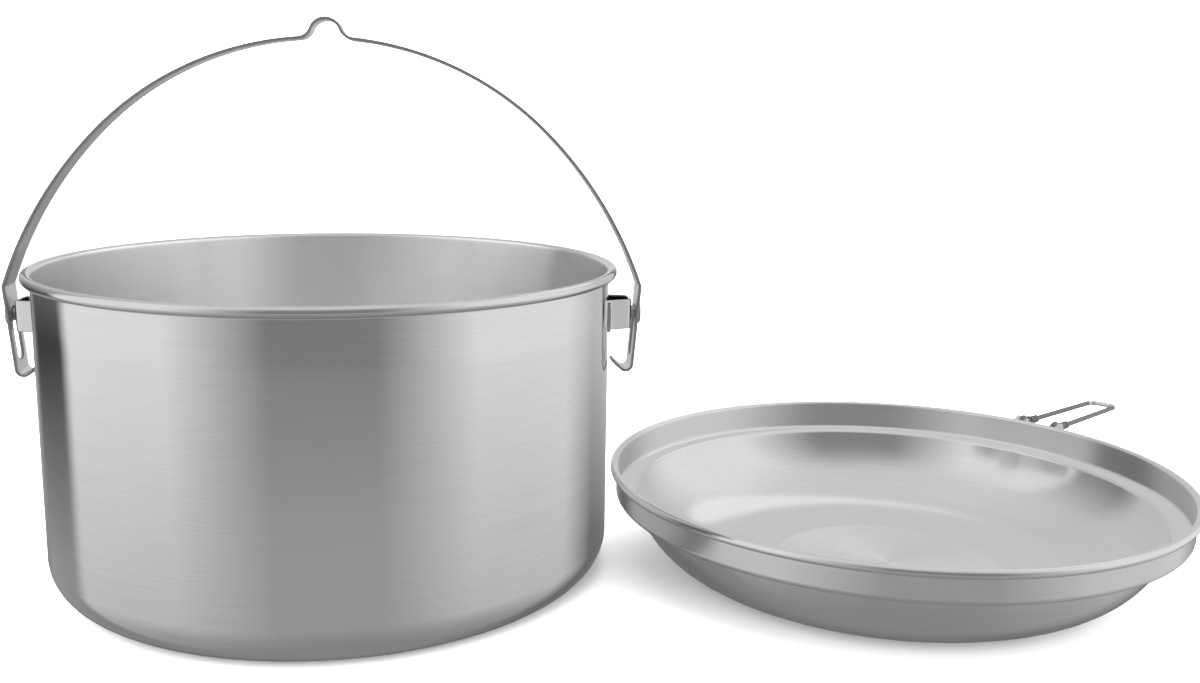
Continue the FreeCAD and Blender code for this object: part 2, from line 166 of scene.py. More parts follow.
# ---- outlines ----------------------------------------------------------------------------------------
def walk(start, heading, moves):
    """Points along a path of ("line", length) and ("turn", radius, degrees) moves; left is positive."""
    x, z = start
    angle = math.radians(heading)
    points = [(x, z)]
    for move in moves:
        if move[0] == "line":
            x += move[1] * math.cos(angle)
            z += move[1] * math.sin(angle)
            points.append((x, z))
            continue
        radius = move[1]
        turn = math.radians(move[2])
        side = 1 if turn > 0 else -1
        centre = (x - side * radius * math.sin(angle), z + side * radius * math.cos(angle))
        steps = max(2, math.ceil(abs(move[2]) / ARC_STEP), math.ceil(radius * abs(turn) / 4.0))
        for i in range(1, steps + 1):
            a = angle + turn * i / steps
            points.append((centre[0] + side * radius * math.sin(a), centre[1] - side * radius * math.cos(a)))
        x, z = points[-1]
        angle += turn
    return points


def with_normals(points):
    """(x, z, normal x, normal z, length so far) at each point; the normal is on the left of the path."""
    rows = []
    length = 0.0
    for i, (x, z) in enumerate(points):
        before = points[max(i - 1, 0)]
        after = points[min(i + 1, len(points) - 1)]
        back = Vector((x - before[0], z - before[1]))
        ahead = Vector((after[0] - x, after[1] - z))
        if back.length < 1e-9:
            back = ahead
        if ahead.length < 1e-9:
            ahead = back
        length += 0.0 if i == 0 else math.dist(before, (x, z))
        tangent = back.normalized() + ahead.normalized()
        half = max(back.normalized().dot(tangent.normalized()), 0.5)
        tangent.normalize()
        rows.append((x, z, -tangent.y / half, tangent.x / half, length))
    return rows


def sheet_ring(points, thickness):
    """Closed outline of sheet that lies on the right of the path: (x, z, length) along both faces."""
    rows = with_normals(points)
    near = [(x, z, s) for x, z, _, _, s in rows]
    far = [(x - nx * thickness, z - nz * thickness, s + thickness) for x, z, nx, nz, s in rows]
    return near + far[::-1]


# ---- mesh makers -------------------------------------------------------------------------------------
def finish_mesh(name, bm, body, node, materials, flat_below=None):
    """Turns a bmesh in the row frame into a piece that rides on a body and stands for a CAD node."""
    bmesh.ops.recalc_face_normals(bm, faces=bm.faces)
    mesh = bpy.data.meshes.new(name)
    bm.to_mesh(mesh)
    bm.free()
    for polygon in mesh.polygons:
        polygon.use_smooth = True
    for material in materials:
        mesh.materials.append(material)
    piece = bpy.data.objects.new(name, mesh)
    bpy.context.scene.collection.objects.link(piece)
    if flat_below is not None:
        mesh.set_sharp_from_angle(angle=math.radians(flat_below))
    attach(piece, body)
    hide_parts(node)
    return piece


def turned(outline, place, segments):
    """Bmesh of a closed (radius, height, length) outline turned round the z axis of `place`."""
    bm = bmesh.new()
    brush = bm.verts.layers.float_vector.new("brush")
    rings = []
    for radius, height, length in outline:
        ring = []
        for j in range(segments if radius > 1e-6 else 1):
            a = 2 * math.pi * j / segments
            vert = bm.verts.new(place @ Vector((radius * math.cos(a), radius * math.sin(a), height)))
            vert[brush] = (math.cos(a), math.sin(a), length) if radius > 1e-6 else (0, 0, length)
            ring.append(vert)
        rings.append(ring)
    for ring, after in zip(rings, rings[1:] + rings[:1]):
        if len(ring) == 1 and len(after) == 1:
            continue
        for j in range(segments):
            k = (j + 1) % segments
            corners = [ring[j % len(ring)], after[j % len(after)], after[k % len(after)], ring[k % len(ring)]]
            corners = [v for i, v in enumerate(corners) if v not in corners[:i]]
            if len(corners) > 2:
                bm.faces.new(corners)
    return bm


def swept(points, radius, segments=20):
    """Bmesh of a round wire along 3-D points, with domed ends."""
    bm = bmesh.new()
    brush = bm.verts.layers.float_vector.new("brush")
    dome = [(-1.0, 0.15), (-0.8, 0.6), (-0.4, 0.92)]
    tangents = []
    for i in range(len(points)):
        tangents.append((points[min(i + 1, len(points) - 1)] - points[max(i - 1, 0)]).normalized())
    stations = [(points[0] + tangents[0] * radius * d, tangents[0], r) for d, r in dome]
    stations += [(p, t, 1.0) for p, t in zip(points, tangents)]
    stations += [(points[-1] - tangents[-1] * radius * d, tangents[-1], r) for d, r in dome[::-1]]
    side = stations[0][1].orthogonal().normalized()
    rings = []
    length = 0.0
    for i, (centre, tangent, share) in enumerate(stations):
        side = (side - tangent * side.dot(tangent)).normalized()
        up = tangent.cross(side)
        length += 0.0 if i == 0 else (centre - stations[i - 1][0]).length
        ring = []
        for j in range(segments):
            a = 2 * math.pi * j / segments
            vert = bm.verts.new(centre + (side * math.cos(a) + up * math.sin(a)) * radius * share)
            vert[brush] = (math.cos(a), math.sin(a), length / MM)
            ring.append(vert)
        rings.append(ring)
    for ring, after in zip(rings, rings[1:]):
        for j in range(segments):
            bm.faces.new([ring[j], ring[(j + 1) % segments], after[(j + 1) % segments], after[j]])
    bm.faces.new(rings[0][::-1])
    bm.faces.new(rings[-1])
    return bm


def band_loop(half, thickness, slot, columns):
    """One side of a strip's section, from the middle or the slot's edge round the outside and back.

    Points are (offset from the slot's outline, y, depth, on the cut edge)."""
    edge = min(SOFT_EDGE, thickness / 2.2)
    angles = (0, 30, 60, 90)
    inner = []
    for a in map(math.radians, angles):
        offset = edge * (1 - math.cos(a)) if slot else 0.0
        inner.append((offset, 0.0, edge * (1 - math.sin(a)) if slot else 0.0, True))
    face = []
    for i in range(1, columns + 1):
        face.append((None, i / columns, 0.0, False))
    outer = []
    for a in map(math.radians, angles[1:]):
        outer.append((None, 1.0 + edge * math.sin(a) / (half - edge), edge * (1 - math.cos(a)), True))
    upper = inner + face + outer
    lower = [(offset, y, thickness - depth, cut) for offset, y, depth, cut in upper[::-1]]
    return upper + lower


def strip(stations, half_width, thickness, lift, slot=None, columns=3, dimples=()):
    """Bmesh of half a bent strip, from its middle to its end.

    stations are rows of with_normals; half_width(s) gives its half width; slot is (first, last, radius) in
    length along the path; lift maps (x, z, y) to the row frame; dimples are (s, y, radius, depth)."""
    bm = bmesh.new()
    brush = bm.verts.layers.float_vector.new("brush")

    def at(s, y, depth):
        i = 1
        while i < len(stations) - 1 and stations[i][4] < s:
            i += 1
        a, b = stations[i - 1], stations[i]
        t = (s - a[4]) / (b[4] - a[4])
        x, z, nx, nz = (a[k] + t * (b[k] - a[k]) for k in range(4))
        for centre_s, centre_y, radius, deep in dimples:
            far = math.hypot(s - centre_s, y - centre_y) / radius
            if far < 1:
                depth += deep * (1 - far * far) ** 2
        vert = bm.verts.new(lift(x - nx * depth, z - nz * depth, y))
        vert[brush] = (s, y, depth)
        return vert

    rows = [(row[4], None) for row in stations]
    if slot:
        first, last, radius = slot
        turns = [math.radians(a) for a in range(0, 91, 10)]
        lead = SOFT_EDGE + 0.05
        rows = [row for row in rows if not first - lead < row[0] < last + lead]
        rows += [(first - lead, None), (last + lead, None)]
        rows += [(first + radius * (1 - math.cos(a)), (first + radius, a, -1)) for a in turns]
        rows += [(last - radius * (1 - math.cos(a)), (last - radius, a, 1)) for a in turns]
        rows.sort(key=lambda row: row[0])
    for side in (1, -1):
        loops = []
        for s, hole in rows:
            half = half_width(s)
            edge = min(SOFT_EDGE, thickness / 2.2)
            loop = []
            for offset, share, depth, cut in band_loop(half, thickness, hole is not None, columns):
                inner_s, inner_y = s, 0.0
                if hole:
                    centre, a, way = hole
                    reach = slot[2] + (offset if offset is not None else edge)
                    inner_s = centre + way * reach * math.cos(a)
                    inner_y = reach * math.sin(a)
                if offset is not None:
                    loop.append((at(inner_s, side * inner_y, depth), cut))
                    continue
                face = min(share, 1.0)
                y = inner_y + face * (half - edge - inner_y) + (share - face) * (half - edge)
                loop.append((at(inner_s + face * (s - inner_s), side * y, depth), cut))
            loops.append((loop, hole is not None))
        count = len(loops[0][0])
        for (loop, holed), (after, next_holed) in zip(loops, loops[1:]):
            for j in range(count):
                k = (j + 1) % count
                if k == 0 and not (holed and next_holed):
                    continue
                corners = [loop[j][0], loop[k][0], after[k][0], after[j][0]]
                made = bm.faces.new(corners if side > 0 else corners[::-1])
                made.material_index = 1 if loop[j][1] and loop[k][1] and (holed or j > 3) else 0
        end = [vert for vert, _ in loops[-1][0]]
        cap = bm.faces.new(end)
        cap.material_index = 1
    bmesh.ops.remove_doubles(bm, verts=bm.verts, dist=2e-7)
    bmesh.ops.dissolve_degenerate(bm, edges=bm.edges, dist=1e-7)
    return bm


def add_mirrored(bm, turn):
    """Adds the same half again, turned by a matrix, and welds the two where they meet."""
    brush = bm.verts.layers.float_vector["brush"]
    copied = bmesh.ops.duplicate(bm, geom=bm.verts[:] + bm.edges[:] + bm.faces[:])
    verts = [g for g in copied["geom"] if isinstance(g, bmesh.types.BMVert)]
    bmesh.ops.transform(bm, matrix=turn, verts=verts)
    for vert in verts:
        s, y, depth = vert[brush]
        vert[brush] = (-s, -y, depth)
    bmesh.ops.remove_doubles(bm, verts=bm.verts, dist=2e-6)


# ---- materials ---------------------------------------------------------------------------------------
class Nodes:
    """A material's node tree with short calls for the nodes used here."""

    def __init__(self, name):
        self.material = bpy.data.materials.new(name)
        self.material.use_nodes = True
        self.tree = self.material.node_tree
        self.shader = self.tree.nodes["Principled BSDF"]

    def new(self, kind, **settings):
        node = self.tree.nodes.new(kind)
        for key, value in settings.items():
            setattr(node, key, value)
        return node

    def link(self, source, target):
        self.tree.links.new(source, target)

    def scaled(self, vector, scale):
        node = self.new("ShaderNodeVectorMath", operation="MULTIPLY")
        self.link(vector, node.inputs[0])
        node.inputs[1].default_value = scale
        return node.outputs["Vector"]

    def noise(self, vector, scale, detail=2.0, roughness=0.5):
        node = self.new("ShaderNodeTexNoise")
        self.link(vector, node.inputs["Vector"])
        node.inputs["Scale"].default_value = scale
        node.inputs["Detail"].default_value = detail
        node.inputs["Roughness"].default_value = roughness
        return node.outputs["Fac"]

    def spread(self, value, low, high, to_low=0.0, to_high=1.0):
        node = self.new("ShaderNodeMapRange")
        self.link(value, node.inputs["Value"])
        for key, number in zip(("From Min", "From Max", "To Min", "To Max"), (low, high, to_low, to_high)):
            node.inputs[key].default_value = number
        return node.outputs["Result"]

    def sum(self, a, b):
        node = self.new("ShaderNodeMath", operation="ADD")
        self.link(a, node.inputs[0])
        self.link(b, node.inputs[1])
        return node.outputs["Value"]

    def blend(self, factor, dark, light):
        node = self.new("ShaderNodeMix", data_type="RGBA")
        self.link(factor, node.inputs["Factor"])
        node.inputs[6].default_value = (*dark, 1)
        node.inputs[7].default_value = (*light, 1)
        return node.outputs[2]


def steel(name, tone, streaks, roughness, streak_depth, colour_spread=0.06, anisotropy=0.0, radial=False):
    """Stainless steel with streaks that follow the piece's `brush` attribute, smudges and fine scratches.

    streaks scales the attribute, so a large number packs the streaks closely in that direction."""
    n = Nodes(name)
    brush = n.new("ShaderNodeAttribute", attribute_name="brush").outputs["Vector"]
    place = n.new("ShaderNodeTexCoord").outputs["Object"]
    fine = n.noise(n.scaled(brush, streaks), 1.0, 3.0, 0.65)
    wide_scale = tuple(0.37 * k for k in streaks)
    wide = n.noise(n.scaled(brush, wide_scale), 1.0, 1.0, 0.5)
    smudge = n.noise(place, 38.0, 3.0, 0.6)
    long_scale = (0.3 * streaks[0], 0.3 * streaks[1], 0.8 * streaks[2])
    scratch = n.spread(n.noise(n.scaled(brush, long_scale), 1.0, 0.0), 0.70, 0.78)
    lines = n.sum(n.spread(fine, 0.2, 0.8, -0.6, 0.6), n.spread(wide, 0.25, 0.75, -0.4, 0.4))
    tone_mix = n.sum(n.spread(lines, -1, 1), n.spread(smudge, 0.3, 0.75, -0.12, 0.12))
    dark = tuple(c * (1 - colour_spread) for c in tone)
    light = tuple(min(1.0, c * (1 + colour_spread)) for c in tone)
    n.link(n.blend(tone_mix, dark, light), n.shader.inputs["Base Color"])
    rough = n.sum(n.spread(lines, -1, 1, roughness[0], roughness[1]), n.spread(smudge, 0.35, 0.8, 0, 0.03))
    n.link(rough, n.shader.inputs["Roughness"])
    height = n.sum(lines, n.spread(scratch, 0, 1, 0, -1.5))
    bump = n.new("ShaderNodeBump")
    bump.inputs["Strength"].default_value = 1.0
    bump.inputs["Distance"].default_value = streak_depth * MM
    n.link(height, bump.inputs["Height"])
    n.link(bump.outputs["Normal"], n.shader.inputs["Normal"])
    n.shader.inputs["Metallic"].default_value = 1.0
    n.shader.inputs["Anisotropic"].default_value = anisotropy
    if radial:
        n.shader.inputs["Anisotropic Rotation"].default_value = 0.25
        tangent = n.new("ShaderNodeTangent", direction_type="RADIAL", axis="Z")
        n.link(tangent.outputs["Tangent"], n.shader.inputs["Tangent"])
    return n.material


def make_materials():
    return {
        "pot": steel("pot_brushed_steel", (0.62, 0.62, 0.625), (6.0, 6.0, 3.2), (0.08, 0.12), 0.0007,
                     anisotropy=0.9, radial=True),
        # The inside's tone is raised far above the outside's: painted light standing in for the light that
        # falls in at the open top. The satin roughness is its own finish.
        "pot_inside": steel("pot_satin_inside_lightened", (0.96, 0.96, 0.965), (6.0, 6.0, 2.4), (0.26, 0.31), 0.0006,
                            anisotropy=1.0, radial=True),
        "pot_floor": steel("pot_spun_floor", (0.74, 0.74, 0.745), (5.0, 5.0, 2.0), (0.22, 0.28), 0.0004,
                           anisotropy=0.9, radial=True),
        "lid": steel("lid_brushed_steel", (0.64, 0.64, 0.645), (6.0, 6.0, 3.0), (0.13, 0.18), 0.0008,
                     anisotropy=0.93, radial=True),
        # The spun middle's rougher, radial finish is its own. Its tone, lighter than the lid's, is a painted
        # sheen.
        "lid_floor": steel("lid_spun_floor_sheen", (0.70, 0.70, 0.705), (5.0, 5.0, 2.0), (0.22, 0.26), 0.0003,
                           anisotropy=0.96, radial=True),
        "lid_collar": steel("lid_satin_collar", (0.60, 0.60, 0.605), (6.0, 6.0, 3.0), (0.28, 0.36), 0.0010,
                            anisotropy=0.7, radial=True),
        "ear": steel("ear_polished_steel", (0.58, 0.58, 0.59), (0.25, 3.0, 1.0), (0.07, 0.14), 0.0015, 0.03),
        "strap": steel("strap_satin_steel", (0.72, 0.72, 0.72), (0.12, 6.0, 1.0), (0.24, 0.34), 0.0012, 0.05),
        "cut_edge": steel("sheared_edge_steel", (0.42, 0.42, 0.425), (3.0, 0.3, 2.0), (0.34, 0.5), 0.01,
                          0.15),
        "rivet": steel("rivet_steel", (0.52, 0.52, 0.525), (1.2, 1.2, 5.0), (0.22, 0.36), 0.004, 0.1),
        "bracket": steel("bracket_pressed_steel", (0.56, 0.56, 0.57), (0.3, 4.0, 1.0), (0.24, 0.36), 0.004,
                         0.06),
        "wire": steel("wire_spring_steel", (0.17, 0.17, 0.175), (1.0, 1.0, 0.4), (0.10, 0.18), 0.002, 0.05),
        # A light copy of the wire's dark steel: a painted highlight on the loop's curved end.
        "wire_end_highlight": steel("wire_end_painted_highlight", (0.66, 0.66, 0.665), (1.0, 1.0, 0.4), (0.16, 0.24), 0.002, 0.06),
        "sleeve": steel("sleeve_dull_steel", (0.14, 0.14, 0.145), (1.5, 1.5, 3.0), (0.24, 0.38), 0.004, 0.1),
    }


# ---- the pot -----------------------------------------------------------------------------------------
def pot_outline():
    curl = (RIM_RADIUS - POT_INSIDE) / 2
    moves = [("line", (POT_RADIUS - POT_CORNER) / 8)] * 8
    moves.append(("turn", POT_CORNER - POT_SHEET, 90))
    groove = POT_HEIGHT - GROOVE_DROP
    moves += [("line", (groove - GROOVE_WIDTH / 2 - POT_CORNER) / WALL_STEPS)] * WALL_STEPS
    moves += [("line", GROOVE_WIDTH / 2)] * 2
    moves += [("line", POT_HEIGHT - curl - groove - GROOVE_WIDTH / 2), ("turn", curl, -CURL_TURN)]
    outline = sheet_ring(walk((0, POT_SHEET), 0, moves), POT_SHEET)
    grooved = []
    for radius, z, length in outline:
        in_groove = radius > POT_INSIDE + 0.1 and abs(z - groove) < 0.01
        grooved.append((radius - GROOVE_DEPTH if in_groove else radius, z, length))
    return grooved


def within_sheet(radius, height):
    """True on the kettle's inner face, which is inside the middle of the sheet."""
    across = radius - (POT_RADIUS - POT_CORNER)
    if height > POT_CORNER:
        return radius < POT_INSIDE + POT_SHEET / 2
    if across < 0:
        return height > POT_SHEET / 2
    return math.hypot(across, height - POT_CORNER) < POT_CORNER - POT_SHEET / 2


def make_pot(look):
    bm = turned(pot_outline(), Matrix.Scale(MM, 4), ROUND_STEPS)
    for face in bm.faces:
        middle = face.calc_center_median() / MM
        inner = within_sheet(middle.xy.length, middle.z)
        if inner:
            face.material_index = 1 if middle.z > POT_CORNER else 2
    return finish_mesh("pot_body", bm, "pot", "pot_shell",
                       [look["pot"], look["pot_inside"], look["pot_floor"]])


def make_ear(side, look):
    """A strip bent into a hat: outer face, two sloping sides and two welded feet."""
    reach = EAR_HIGH.x / MM
    foot = POT_RADIUS + 0.02 + EAR_SHEET
    foot_end = EAR_HIGH.y / MM
    slope = math.atan2((EAR_ROOT - EAR_FACE) / 2, reach - POT_RADIUS)
    side_heading = 180 - math.degrees(slope)
    corner_trim = EAR_CORNER * math.tan(math.radians(side_heading - 90) / 2)
    root_x = foot - 0.4
    side_length = (reach - root_x) / math.cos(slope)
    root_y = EAR_FACE / 2 + (reach - root_x) * math.tan(slope)
    foot_heading = 90 + math.degrees(math.asin(root_y / foot))
    bend = foot_heading - side_heading
    bend_trim = EAR_ROOT_BEND * math.tan(math.radians(-bend) / 2)
    foot_turn = math.degrees(math.asin(foot_end / foot) - math.asin((root_y + bend_trim) / foot))
    moves = [("line", (EAR_FACE / 2 - corner_trim) / 5)] * 5
    moves.append(("turn", EAR_CORNER, side_heading - 90))
    moves += [("line", (side_length - corner_trim - bend_trim) / 6)] * 6
    moves.append(("turn", EAR_ROOT_BEND, bend))
    moves += [("turn", foot, foot_turn / 16)] * 16
    stations = with_normals(walk((reach, 0), 90, moves))
    stations = [(x, y, -nx, -ny, s) for x, y, nx, ny, s in stations]
    total = stations[-1][4]
    half = (EAR_HIGH.z - EAR_LOW.z) / 2 / MM
    middle = (EAR_HIGH.z + EAR_LOW.z) / 2 / MM

    def half_width(s):
        near_end = max(0.0, EAR_END_CORNER - (total - s))
        return half - EAR_END_CORNER + math.sqrt(max(EAR_END_CORNER ** 2 - near_end ** 2, 0.0))

    weld_s = total - 3.4
    welds = [(weld_s, y, WELD_RADIUS, WELD_DEPTH) for y in (-3.0, 3.0)]

    def lift(x, y, z):
        return Vector((side * x * MM, side * y * MM, (z + middle) * MM))

    bm = strip(stations, half_width, EAR_SHEET, lift, columns=12, dimples=welds)
    flip = Matrix.Diagonal((1, -1, 1, 1))
    add_mirrored(bm, flip)
    name = "right" if side > 0 else "left"
    return finish_mesh("ear_" + name, bm, "pot", name + "_ear",
                       [look["ear"], look["ear"]], flat_below=50)


# ---- the bail ----------------------------------------------------------------------------------------
def make_pivot(side, look):
    """Rivet through ear and strap: a thin domed head outside, a peened tail inside."""
    head = (PIN_HIGH.z - PIN_LOW.z) / 2 / MM
    x0, x1 = PIN_LOW.x / MM, PIN_HIGH.x / MM
    shank, tail, tail_end, head_face = 2.7, 4.0, x0 + 1.2, x1 - 0.8
    outline = [(0, x0), (2.2, x0), (3.2, x0 + 0.12), (3.8, x0 + 0.4), (tail, x0 + 0.75),
               (tail, tail_end - 0.1), (tail - 0.1, tail_end), (shank, tail_end), (shank, head_face),
               (head - 0.1, head_face), (head, head_face + 0.1), (head, head_face + 0.35),
               (head - 0.15, head_face + 0.58), (head - 0.5, head_face + 0.72), (head - 1.2, x1 - 0.02),
               (1.2, x1), (0.7, x1 - 0.12), (0, x1 - 0.16)]
    rows = [(radius, height, i * 0.8) for i, (radius, height) in enumerate(outline)]
    turn = Matrix.Rotation(math.radians(90 if side > 0 else -90), 4, "Y")
    place = Matrix.Translation((0, 0, PIVOT.z)) @ turn @ Matrix.Scale(MM, 4)
    name = "right" if side > 0 else "left"
    return finish_mesh("rivet_" + name, turned(rows, place, 48), "bail_rivets", name + "_pivot_pin",
                       [look["rivet"]], flat_below=60)


def strap_moves():
    """The right half of the bail's outer face, from the middle of the hump to the hook's tip."""
    arch_top = POT_HEIGHT + ARCH_RISE
    top = STRAP_HIGH.z / MM
    hump_over = top - HUMP_RADIUS - (arch_top - ARCH_RADIUS)
    to_arch = ARCH_RADIUS + HUMP_FILLET
    to_hump = HUMP_RADIUS + HUMP_FILLET
    rise = (to_arch ** 2 - to_hump ** 2 + hump_over ** 2) / (2 * hump_over)
    arch_start = math.degrees(math.acos(rise / to_arch))
    hump_turn = math.degrees(math.acos((rise - hump_over) / to_hump))
    turn = math.radians(ARCH_TURN)
    flank_centre = arch_top - ARCH_RADIUS - (SHOULDER_RADIUS - ARCH_RADIUS) * math.cos(turn)
    flank_end = math.degrees(math.acos((POT_HEIGHT - KINK_DROP - flank_centre) / SHOULDER_RADIUS))
    heading = 90 + LEG_LEAN
    leg_top = POT_HEIGHT - KINK_DROP + KINK_RADIUS * (
        math.cos(math.radians(heading)) - math.cos(math.radians(flank_end)))
    leg_bottom = STRAP_LOW.z / MM + HOOK_RADIUS * (1 + math.cos(math.radians(heading)))
    leg = (leg_top - leg_bottom) / math.cos(math.radians(LEG_LEAN))
    moves = [
        ("turn", HUMP_RADIUS, -hump_turn),
        ("turn", HUMP_FILLET, hump_turn - arch_start),
        ("turn", ARCH_RADIUS, arch_start - ARCH_TURN),
        ("turn", SHOULDER_RADIUS, ARCH_TURN - flank_end),
        ("turn", KINK_RADIUS, flank_end - heading),
        ("line", leg),
        ("turn", HOOK_RADIUS, heading - 180 - HOOK_RISE),
        ("line", HOOK_TIP - TIP_CORNER),
    ]
    moves += [("line", TIP_CORNER / 8)] * 8
    return moves, leg_top


def make_bail(look):
    moves, leg_top = strap_moves()
    stations = with_normals(walk((0, STRAP_HIGH.z / MM), 0, moves))
    half = (STRAP_HIGH.y - STRAP_LOW.y) / 2 / MM
    total = stations[-1][4]
    leg_start = with_normals(walk((0, 0), 0, moves[:5]))[-1][4]
    lean = math.cos(math.radians(LEG_LEAN))
    first = leg_start + (leg_top - (POT_HEIGHT - SLOT_TOP_DROP)) / lean
    last = leg_start + (leg_top - (POT_HEIGHT - SLOT_END_DROP)) / lean

    def half_width(s):
        near_end = max(0.0, TIP_CORNER - (total - s))
        return half - TIP_CORNER + math.sqrt(max(TIP_CORNER ** 2 - near_end ** 2, 0.0))

    def lift(x, z, y):
        return Vector((x * MM, y * MM, z * MM))

    bm = strip(stations, half_width, STRAP_SHEET, lift, slot=(first, last, SLOT_WIDTH / 2))
    add_mirrored(bm, Matrix.Rotation(math.pi, 4, "Z"))
    return finish_mesh("bail_band", bm, "bail", "bail_strap",
                       [look["strap"], look["cut_edge"]], flat_below=50)


# ---- the lid -----------------------------------------------------------------------------------------
def lid_outline():
    slope = math.radians(BOWL_SLOPE)
    bowl_rise = LEDGE_HEIGHT - LID_SHEET - BOWL_LIP * (1 - math.cos(slope))
    bowl = bowl_rise / (1 - math.cos(slope))
    floor = BOWL_MOUTH - (BOWL_LIP + bowl) * math.sin(slope)
    moves = [("line", floor / 12)] * 12
    moves += [
        ("turn", bowl, BOWL_SLOPE),
        ("turn", BOWL_LIP, -BOWL_SLOPE),
        ("line", COLLAR_INSIDE - LEDGE_CORNER - BOWL_MOUTH),
        ("turn", LEDGE_CORNER, 90),
        ("line", LID_HEIGHT - LID_CURL - LEDGE_HEIGHT - LEDGE_CORNER),
        ("turn", LID_CURL, -CURL_TURN),
    ]
    return sheet_ring(walk((0, LID_SHEET), 0, moves), LID_SHEET)


def make_lid(look):
    """A bowl with a spun middle, toned lighter than the rest as a painted sheen, and a satin collar that
    guides the rim of the pot.
    """
    place = Matrix.Translation(LID_CENTRE) @ Matrix.Scale(MM, 4)
    bm = turned(lid_outline(), place, ROUND_STEPS)
    for face in bm.faces:
        middle = face.calc_center_median() - LID_CENTRE
        radius = middle.xy.length / MM
        height = middle.z / MM
        if height > LID_SHEET / 2 and radius < SPUN_RADIUS:
            face.material_index = 1
        elif height > LEDGE_HEIGHT + LEDGE_CORNER / 2 and radius < COLLAR_INSIDE + 0.1:
            face.material_index = 2
    return finish_mesh("lid_dish", bm, "lid", "lid_pan",
                       [look["lid"], look["lid_floor"], look["lid_collar"]])


def hinge_place():
    """From the handle's own axes, x along the handle and y along its pins, to the row frame, in mm."""
    turn = Matrix.Rotation(math.radians(HANDLE_AZIMUTH), 4, "Z")
    return Matrix.Translation(HINGE) @ turn @ Matrix.Scale(MM, 4)


def wire_side(side):
    """Points of half the wire: its eye round the pin, and the leg out to the middle of the loop's end."""
    base = HANDLE_BASE / 2
    lean = math.atan2(base - HANDLE_TIP / 2, HANDLE_LENGTH - WIRE_RADIUS)
    points = []
    for a in range(28, 333, 12):
        turn = math.radians(a)
        points.append((EYE_RADIUS * math.cos(turn), base, EYE_RADIUS * math.sin(turn)))
    points.append((EYE_RADIUS + 0.55, base, -0.62))
    points.append((EYE_RADIUS + 1.3, base, -0.12))
    start = EYE_RADIUS + 2.2
    end = HANDLE_LENGTH - WIRE_RADIUS
    trim = HANDLE_CORNER * math.tan((math.pi / 2 - lean) / 2)
    corner_x, corner_y = end, HANDLE_TIP / 2
    along = (math.cos(lean), -math.sin(lean))
    stop = (corner_x - along[0] * trim, corner_y - along[1] * trim)
    for i in range(13):
        t = i / 12
        points.append((start + t * (stop[0] - start), base - (base - stop[1]) * t, 0.0))
    turn = math.pi / 2 - lean
    for i in range(1, 9):
        a = i / 8 * turn
        x = stop[0] + HANDLE_CORNER * (math.sin(lean + a) - math.sin(lean))
        y = stop[1] - HANDLE_CORNER * (math.cos(lean) - math.cos(lean + a))
        points.append((x, y, 0.0))
    points.append((points[-1][0], points[-1][1] / 2, 0.0))
    return [Vector((x, side * y, z)) for x, y, z in points]


def make_handle(look):
    place = hinge_place()
    centre = wire_side(1) + wire_side(-1)[::-1]
    bm = swept([place @ p for p in centre], WIRE_RADIUS * MM)
    # Faces past the loop's last bend take the light copy, a painted highlight where the curved end catches
    # the light.
    highlight_from = HANDLE_LENGTH - HANDLE_CORNER - WIRE_RADIUS
    back = place.inverted()
    for face in bm.faces:
        face.material_index = 1 if (back @ face.calc_center_median()).x > highlight_from else 0
    made = [finish_mesh("handle_loop", bm, "lid_handle", "handle_wire",
                        [look["wire"], look["wire_end_highlight"]])]
    lean = math.atan2((HANDLE_BASE - HANDLE_TIP) / 2, HANDLE_LENGTH - WIRE_RADIUS)
    inside, outside = WIRE_RADIUS + 0.02, SLEEVE_RADIUS
    end = SLEEVE_LENGTH
    sleeve = [(inside, 0.1), (inside + 0.1, 0), (SLEEVE_FLANGE - 0.15, 0), (SLEEVE_FLANGE, 0.15),
              (SLEEVE_FLANGE, 0.7), (SLEEVE_FLANGE - 0.15, 0.85), (outside, 1.0), (outside, 2.4),
              (outside - 0.14, 2.7), (outside - 0.14, 3.3), (outside, 3.6), (outside, end - 1.6),
              (outside - 0.08, end - 0.7), (outside - 0.25, end - 0.15), (outside - 0.4, end),
              (inside, end - 0.05)]
    head = PIN_HEAD_RADIUS
    pin = [(0, 0), (head - 0.4, 0), (head, 0.3), (head, PIN_HEAD - 0.1), (head - 0.1, PIN_HEAD),
           (PIN_RADIUS, PIN_HEAD), (PIN_RADIUS, 5.2), (head - 0.1, 5.2), (head, 5.3), (head, 5.6),
           (head - 0.35, 5.9), (1.0, 6.0), (0, 6.0)]
    for side, name in ((-1, "front"), (1, "back")):
        along = Matrix.Rotation(-side * lean, 4, "Z") @ Matrix.Rotation(math.pi / 2, 4, "Y")
        start = Matrix.Translation((0, side * HANDLE_BASE / 2, 0))
        local = start @ along @ Matrix.Translation((0, 0, SLEEVE_START))
        rows = [(radius, height, 0.7 * i) for i, (radius, height) in enumerate(sleeve)]
        bm = turned(rows, place @ local, 32)
        made.append(finish_mesh("handle_tube_" + name, bm, "lid_handle", "handle_sleeve_" + name,
                                [look["sleeve"]], flat_below=50))
        inner = HANDLE_BASE / 2 - WIRE_RADIUS - 0.12 - PIN_HEAD
        local = Matrix.Translation((0, side * inner, 0)) @ Matrix.Rotation(-side * math.pi / 2, 4, "X")
        rows = [(radius, height, 0.7 * i) for i, (radius, height) in enumerate(pin)]
        bm = turned(rows, place @ local, 32)
        made.append(finish_mesh("handle_rivet_" + name, bm, "lid", "handle_pin_" + name,
                                [look["rivet"]], flat_below=50))
    return made


